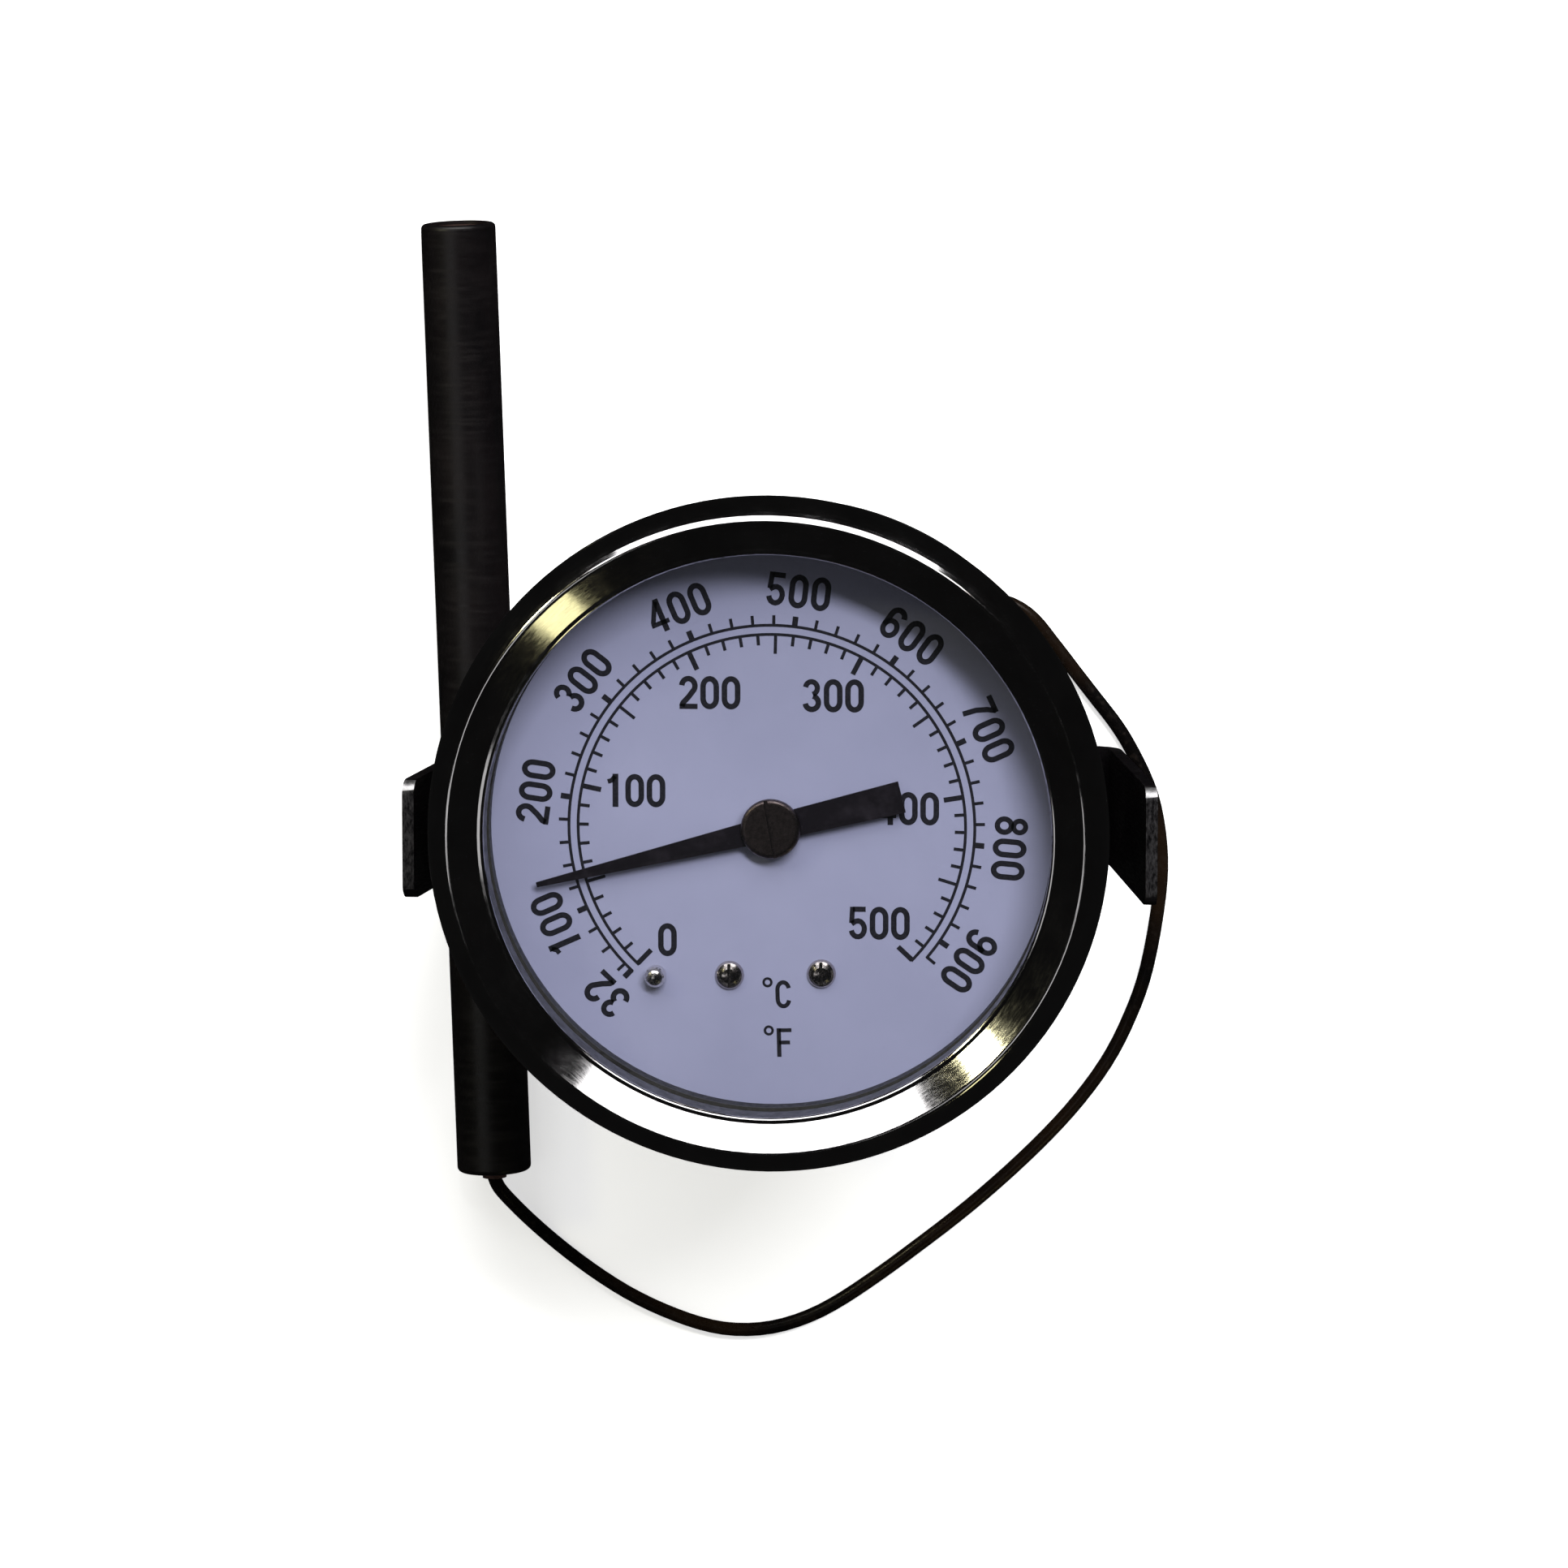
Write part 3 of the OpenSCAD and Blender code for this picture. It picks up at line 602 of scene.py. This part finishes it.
def add_dial_print():
    """Both scales, their numerals and the unit marks, as thin ink on the dial plate."""
    low, high = DIAL_Z - INK_HALF, DIAL_Z + INK_HALF
    scales = bmesh.new()
    scale_line(scales, FAHRENHEIT_R, dial_angle(-1), from_fahrenheit(921), low, high)
    scale_line(scales, CELSIUS_R, dial_angle(-1), dial_angle(500.8), low, high)
    for f in [32, *range(40, 921, 20)]:
        width = FAHRENHEIT_WIDTHS[0 if f == 32 or f % 100 == 0 else 1]
        tick(scales, from_fahrenheit(f), *FAHRENHEIT_TICKS, width, low, high)
    for c in range(0, 501, 10):
        end = CELSIUS_TICK_ENDS[0 if c % 50 == 0 else 1]
        width = CELSIUS_WIDTHS[0 if c % 100 == 0 else 1]
        tick(scales, dial_angle(c), CELSIUS_R, end, width, low, high)
    numerals = bmesh.new()
    for f in [32, *range(100, 901, 100)]:
        a = from_fahrenheit(f)
        lower = math.radians(0.8 if f == 100 else 0)
        write(numerals, str(f), on_dial(FAHRENHEIT_TEXT_R, a + lower), a - math.pi / 2, 3.5, 2.32, low, high)
    for c, r in CELSIUS_TEXT_R.items():
        a = dial_angle(c) + math.radians(CELSIUS_TEXT_LEAN[c])
        write(numerals, str(c), on_dial(r, a), -DIAL_TURN, 3.45, 2.2, low, high)
    units = bmesh.new()
    for letter, y in (("C", -17.5), ("F", -22.55)):
        write(units, "*", (-0.85, y + 0.35), 0, 3.1, 1, low, high)
        write(units, letter, (0.75, y), 0, 3.0, 1, low, high)
    ink = print_ink()
    for name, bm in (("print_scales", scales), ("print_numerals", numerals), ("print_units", units)):
        bm.transform(Matrix.Rotation(DIAL_TURN, 4, "Z"))
        add_mesh(name, bm, ink, "case")


# ---- fasteners ----

STUD_R = 2
STUD_HEAD_R = 3.4
THREAD_PITCH = 0.7
THREAD_DEPTH = 0.42
NUT_STEPS = 72
WASHER_IN = 2.2
WASHER_OUT = 3.8
WASHER_THICK = 0.7
WASHER_SPRING = 0.1


def thread_radius(a, z):
    """Radius of a stud's right-hand 60-degree thread at angle a and height z."""
    phase = (z / THREAD_PITCH - a / (2 * math.pi)) % 1
    return STUD_R - THREAD_DEPTH * min(1, max(0, 1.25 * abs(2 * phase - 1) - 0.12))


def add_studs():
    """Threaded rods from the floor up to the case's inside, with their plain welded heads."""
    low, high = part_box("clamp_studs")
    foot, top = low.z / MM, high.z / MM
    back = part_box("case_cup")[0].z / MM
    x = high.x / MM - STUD_HEAD_R
    y = (low.y + high.y) / 2 / MM
    steps_per_turn = 8
    chamfer = 0.3
    count = int((back - foot - 0.6) / THREAD_PITCH * steps_per_turn)
    rows = [(foot, 1.55), (foot + chamfer, STUD_R)]
    rows += [(foot + chamfer + (i + 1) * THREAD_PITCH / steps_per_turn, "thread") for i in range(count)]
    rows += [(back - 0.1, 1.95), (top - 1, 1.95), (top - 1, STUD_HEAD_R), (top - 0.2, STUD_HEAD_R), (top, 3.2)]

    def radius(key, a, z):
        return thread_radius(a, z) if key == "thread" else key

    metal = brushed_metal("stud_zinc", (0.42, 0.42, 0.43), (0.24, 0.235, 0.23), 0.34, (1, 1, 0.2), 2600, 0.6)
    bm = bmesh.new()
    for side in (-1, 1):
        rings = lathe(bm, rows, 28, radius, (side * x, y))
        bm.faces.new(rings[0])
        bm.faces.new(rings[-1])
    piece = add_mesh("studs_threaded", bm, metal, "case", 50)
    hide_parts("clamp_studs")


def hexagon(flats, a, turn):
    """Radius at angle a of a hexagon whose face middle lies at turn."""
    step = math.pi / 3
    nearest = (a - turn + step / 2) % step - step / 2
    return flats / 2 / math.cos(nearest)


def chamfered_nut(bm, centre, bottom, top, flats, bore, hex_turn):
    """Hexagon nut with 30-degree chamfers and a countersunk bore. Face middles lie at hex_turn."""
    corner = flats / 2 / math.cos(math.pi / 6)
    cut = (corner - flats / 2) * 1.15
    drop = cut * 0.55
    sink = 0.25
    limits = {"edge": corner - cut, "half": corner - cut * 0.5, "full": corner}

    def radius(key, a, z):
        return min(hexagon(flats, a, hex_turn), limits[key]) if key in limits else key

    rows = [(bottom + sink, bore), (bottom, bore + sink), (bottom, "edge"), (bottom + drop / 2, "half"),
            (bottom + drop, "full"), (top - drop, "full"), (top - drop / 2, "half"), (top, "edge"),
            (top, bore + sink), (top - sink, bore)]
    rings = lathe(bm, rows, NUT_STEPS, radius, centre)
    for k in range(NUT_STEPS):
        m = (k + 1) % NUT_STEPS
        bm.faces.new((rings[-1][k], rings[-1][m], rings[0][m], rings[0][k]))


def add_nuts():
    """Zinc-plated nuts of the clamp, each on its own body."""
    metal = brushed_metal("nut_zinc", (0.46, 0.46, 0.47), (0.27, 0.26, 0.25), 0.3, (1, 1, 0.3), 1800, 0.6)
    for node in ("nut_left", "nut_right"):
        low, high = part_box(node)
        middle = (low + high) / 2 / MM
        bm = bmesh.new()
        chamfered_nut(bm, (middle.x, middle.y), low.z / MM, high.z / MM, 7, 2.05, math.radians(30))
        piece = add_mesh(node + "_chamfered", bm, metal, node, 25)
        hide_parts(node)


def add_gland_nut():
    """Brass nut on the stem behind the case."""
    low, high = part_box("gland_nut")
    middle = (low + high) / 2 / MM
    brass = turned_metal("gland_brass", (middle.x, middle.y), (0.62, 0.45, 0.20), (0.33, 0.22, 0.10), 0.32)
    bm = bmesh.new()
    chamfered_nut(bm, (middle.x, middle.y), low.z / MM, high.z / MM, 11, 2.7, DIAL_TURN)
    piece = add_mesh("gland_nut_chamfered", bm, brass, "case", 25)
    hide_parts("gland_nut")


def add_split_washers():
    """Spring washers: a square strip wound once, with a slanting gap."""
    low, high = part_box("spring_washers")
    top, y = high.z / MM, (low.y + high.y) / 2 / MM
    x = high.x / MM - WASHER_OUT
    foot = top - WASHER_THICK - WASHER_SPRING
    metal = brushed_metal("washer_steel", (0.33, 0.33, 0.34), (0.18, 0.175, 0.17), 0.36, (1, 1, 0.5), 1800, 0.6)
    steps = 60
    first, sweep, slant = 200, 345, 0.05
    bm = bmesh.new()
    for side in (-1, 1):
        rows = []
        for i in range(steps + 1):
            a = math.radians(first + sweep * i / steps)
            z = foot + WASHER_SPRING * i / steps
            section = ((WASHER_IN, z, 0), (WASHER_OUT, z, 0),
                       (WASHER_OUT, z + WASHER_THICK, slant), (WASHER_IN, z + WASHER_THICK, slant))
            rows.append([bm.verts.new((side * x + r * math.cos(a + skew), y + r * math.sin(a + skew), h))
                         for r, h, skew in section])
        for p, q in zip(rows, rows[1:]):
            for j in range(4):
                k = (j + 1) % 4
                bm.faces.new((p[j], p[k], q[k], q[j]))
        bm.faces.new(rows[0])
        bm.faces.new(rows[-1])
    piece = add_mesh("washers_split", bm, metal, "clamp", 30)
    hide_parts("spring_washers")


# ---- dressing the CAD nodes ----

SCREW_HEAD_R = 1.5
SOCKET_AT = (0, -23.2)
WALL_INSET = 1.1


def dress_bezel():
    """Bright plate outside; on the wall round the window, darker and duller metal as painted shade."""
    inside = turned_metal("bezel_wall_painted_shade", (0, 0), (0.20, 0.20, 0.205), (0.15, 0.15, 0.155), 0.45)
    dress("bezel_ring", chrome_plate(), inside)
    data = NODES["bezel_ring"].data
    window_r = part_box("dial_plate")[1].x - WALL_INSET * MM
    # wall faces round the window get the darker metal: painted shade
    for face in data.polygons:
        if face.center.xy.length < window_r and abs(face.normal.z) < 0.2:
            face.material_index = 1


def dress_case():
    dress("case_cup", black_enamel())
    dress_bezel()
    dress("window_glass", window_glass())
    dress("window_gasket", rubber("gasket_rubber"))
    dress("dial_spacer", matt_black("spacer_black", (0.012, 0.012, 0.013), 0.45))
    dress("dial_plate", dial_lacquer())
    dress("strain_relief", rubber("sleeve_rubber"))
    dress("stem_washer", fibre())


def dress_small_metal():
    """Screws, pin, cap and the movement inside the case."""
    low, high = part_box("dial_screws")
    right = (high.x / MM - SCREW_HEAD_R, (low.y + high.y) / 2 / MM)
    nickel = turned_metal("screw_nickel", right, (0.56, 0.52, 0.51), (0.40, 0.36, 0.35), 0.14, 3000, 0.0008)
    dress("dial_screws", nickel)
    low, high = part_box("stop_pin")
    pin = (low + high) / 2 / MM
    nickel = turned_metal("pin_nickel", (pin.x, pin.y), (0.80, 0.78, 0.77), (0.60, 0.57, 0.55), 0.16, 3000, 0.0008)
    dress("stop_pin", nickel)
    nickel = turned_metal("cap_nickel", (0, 0), (0.15, 0.12, 0.12), (0.06, 0.047, 0.048), 0.34, 1600, 0.003)
    dress("pointer_cap", nickel)
    zinc = turned_metal("socket_screw_zinc", SOCKET_AT, (0.45, 0.45, 0.46), (0.25, 0.25, 0.25))
    dress("socket_screws", zinc)
    steel = brushed_metal("arbor_steel", (0.55, 0.56, 0.58), (0.32, 0.32, 0.33), 0.22, (1, 1, 0.1))
    for node in ("tip_pin", "movement_screws", "sector_arbor", "tail_pin", "pinion_arbor"):
        dress(node, steel)
    brass = brushed_metal("movement_brass", (0.66, 0.48, 0.22), (0.42, 0.28, 0.13), 0.3)
    for node in ("dial_pillars", "socket_block", "bourdon_tip", "back_plate", "front_plate", "movement_posts",
                 "hairspring_stud", "hairspring_collet", "sector_gear", "link_bar"):
        dress(node, brass)
    dress("bourdon_tube", turned_metal("tube_bronze", (0, 0), (0.60, 0.38, 0.20), (0.38, 0.22, 0.11), 0.28))
    dress("hairspring", turned_metal("spring_blue", (0, 0), (0.20, 0.26, 0.38), (0.12, 0.14, 0.22), 0.25))


def break_edges(node, width, material):
    """Breaks a node's sharp edges, in the material at that place in its list, without changing its mesh."""
    modifier = NODES[node].modifiers.new("broken_edges", "BEVEL")
    modifier.width = width * MM
    modifier.segments = 2
    modifier.limit_method = "ANGLE"
    modifier.angle_limit = math.radians(40)
    modifier.material = material


def dress_clamp():
    """Strip in three materials: skin, the sheared ends of its feet, and worn edges; the chamfers that face up to
    the light also get the bright metal, as a painted highlight.
    """
    dress("u_clamp", clamp_steel(), clamp_cut(), clamp_edge())
    data = NODES["u_clamp"].data
    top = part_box("u_clamp")[1].z
    for face in data.polygons:
        if face.normal.z > 0.9 and face.center.z > top - 0.1 * MM:
            face.material_index = 1
        # chamfers turned up towards the light: bright metal as a painted highlight
        elif face.normal.y > 0.3 and face.normal.z > 0.3:
            face.material_index = 2
    break_edges("u_clamp", 0.18, 2)


def dress_bulb():
    dress("bulb_tube", bulb_metal())
    dress("bulb_end_plug", bulb_end())
    dress("bulb_neck_plug", bulb_end())


# ---- stage ----

FLOOR_HALF = 4
FLOOR_GAP = 0.05
WORLD_LIGHT = 0.13
WORLD_MIRRORED = 0.006
WARM = (1.0, 0.96, 0.58)
WARM_LOW = (1.0, 0.95, 0.50)


def add_floor():
    """Pale paper under the object; it also glows, a painted light that keeps it near white even in the object's
    shadow.
    """
    # the emission is painted light: the floor glows although it is no lamp
    look = Look("floor_paper_glowing", (0.93, 0.93, 0.93), 0.9, Emission_Color=(1, 1, 1, 1), Emission_Strength=0.6)
    grain = look.noise(look.place(), 900, 3)
    look.drive("Base Color", look.blend(grain, (0.925, 0.925, 0.925), (0.94, 0.94, 0.94)))
    bm = bmesh.new()
    bmesh.ops.create_grid(bm, x_segments=8, y_segments=8, size=FLOOR_HALF)
    data = bpy.data.meshes.new("floor")
    bm.to_mesh(data)
    bm.free()
    data.materials.append(look.material)
    floor = bpy.data.objects.new("floor", data)
    floor.location.z = (FLOOR_Z - FLOOR_GAP) * MM
    floor.visible_glossy = False
    bpy.context.scene.collection.objects.link(floor)


def add_area(name, direction, distance, size, power, colour=(1, 1, 1)):
    """Soft light that faces the dial from a direction; size is (width, height) in metres."""
    data = bpy.data.lights.new(name, "AREA")
    data.shape = "RECTANGLE"
    data.size, data.size_y = size
    data.energy = power
    data.color = colour
    light = bpy.data.objects.new(name, data)
    away = Vector(direction).normalized()
    light.location = away * distance
    light.rotation_euler = away.to_track_quat("Z", "Y").to_euler()
    bpy.context.scene.collection.objects.link(light)
    return light


def add_lights():
    """Studio light, and a world that lights the object but hardly shows in its reflections."""
    add_area("softbox", (-0.02, 0.83, 0.56), 0.75, (0.95, 0.42), 4.2)
    main = add_area("main", (0.33, 0.62, 1.0), 1.3, (0.8, 0.2), 22.5)
    main.visible_glossy = False
    add_area("strip", (-0.42, -0.10, 0.90), 1.0, (0.18, 0.62), 0.25)
    add_area("warm_left", (-0.70, 0.48, 0.53), 0.8, (0.08, 0.12), 0.75, WARM)
    add_area("warm_right", (0.49, -0.76, 0.42), 0.8, (0.10, 0.16), 0.10, WARM_LOW)
    world = bpy.data.worlds.new("studio")
    world.use_nodes = True
    tree = world.node_tree
    path = tree.nodes.new("ShaderNodeLightPath")
    strength = tree.nodes.new("ShaderNodeMapRange")
    strength.inputs["To Min"].default_value = WORLD_LIGHT
    strength.inputs["To Max"].default_value = WORLD_MIRRORED
    tree.links.new(path.outputs["Is Glossy Ray"], strength.inputs["Value"])
    tree.links.new(strength.outputs["Result"], tree.nodes["Background"].inputs["Strength"])
    tree.nodes["Background"].inputs["Color"].default_value = (1, 1, 1, 1)
    bpy.context.scene.world = world
    bpy.context.scene.view_settings.view_transform = "Standard"


add_camera()
add_capillary()
add_dial_print()
add_studs()
add_nuts()
add_gland_nut()
add_split_washers()
dress_case()
dress_small_metal()
dress_clamp()
dress_bulb()
dress("pointer", matt_black("pointer_paint"))
add_floor()
add_lights()
